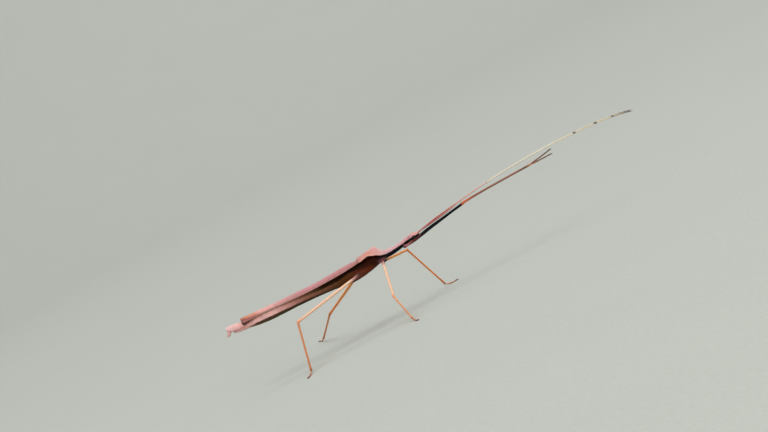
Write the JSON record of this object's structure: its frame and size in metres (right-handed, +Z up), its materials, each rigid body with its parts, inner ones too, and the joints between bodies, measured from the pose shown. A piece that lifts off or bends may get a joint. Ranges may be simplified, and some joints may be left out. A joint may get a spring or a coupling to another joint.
{
  "type": "stick insect model",
  "caption": "Life-size winged stick insect standing on four thin splayed legs, with its fore legs and long feelers stretched straight forward and its wings folded along its back.",
  "frame": {"origin": "on the floor, below the centre of the whole outline, with all four standing soles at Z = 0", "axes": "+X from the tail to the head, +Y to the insect's left, +Z up"},
  "size_m": [0.148, 0.0784, 0.0269],
  "materials": {
    "thorax_cuticle": "smooth insect cuticle, lilac-rose above and blue-black along the sides",
    "dark_cuticle": "smooth dark brown insect cuticle",
    "abdomen_cuticle": "segmented insect cuticle, pinkish buff with dark brown bands and underside",
    "wing": "leathery folded wing, dusty rose with fine raised veins",
    "eye": "glossy dark compound eye with fine facets",
    "feeler": "fine cream feeler with a rose base and short dark rings",
    "pale_leg": "smooth cream to salmon leg cuticle",
    "black_leg": "satin blue-black leg cuticle with an orange knee",
    "rust_leg": "rust-orange leg cuticle, finely ridged"
  },
  "bodies": {
    "root": {"prothorax": "thorax_cuticle", "mesothorax": "thorax_cuticle", "metathorax": "dark_cuticle", "abdomen_2": "abdomen_cuticle", "abdomen_3": "abdomen_cuticle", "abdomen_4": "abdomen_cuticle", "abdomen_5": "abdomen_cuticle", "abdomen_6": "abdomen_cuticle", "abdomen_7": "abdomen_cuticle", "abdomen_8": "abdomen_cuticle", "abdomen_9": "abdomen_cuticle", "abdomen_10": "abdomen_cuticle", "subgenital_plate": "abdomen_cuticle", "cercus_right": "abdomen_cuticle", "cercus_left": "abdomen_cuticle", "head": "thorax_cuticle", "mouthparts": "dark_cuticle", "eye_right": "eye", "eye_left": "eye", "antenna_base_right": "feeler", "antenna_base_left": "feeler", "antenna_flagellum_right": "feeler", "antenna_flagellum_left": "feeler", "hind_wing_right": "wing", "hind_wing_left": "wing", "tegmen_right": "wing", "tegmen_left": "wing", "coxa_hind_right": "dark_cuticle", "coxa_hind_left": "dark_cuticle", "coxa_mid_right": "dark_cuticle", "coxa_mid_left": "dark_cuticle", "coxa_fore_right": "dark_cuticle", "coxa_fore_left": "dark_cuticle", "femur_hind_right": "pale_leg", "femur_hind_left": "pale_leg", "femur_mid_right": "pale_leg", "femur_mid_left": "pale_leg", "femur_fore_right": "black_leg", "femur_fore_left": "black_leg", "tibia_hind_right": "rust_leg", "tibia_hind_left": "rust_leg", "tibia_mid_right": "rust_leg", "tibia_mid_left": "rust_leg", "tibia_fore_right": "rust_leg", "tibia_fore_left": "rust_leg", "tarsus_hind_right": "rust_leg", "tarsus_hind_left": "rust_leg", "tarsus_mid_right": "rust_leg", "tarsus_mid_left": "rust_leg", "tarsus_fore_right": "rust_leg", "tarsus_fore_left": "rust_leg"}
  },
  "joints": []
}
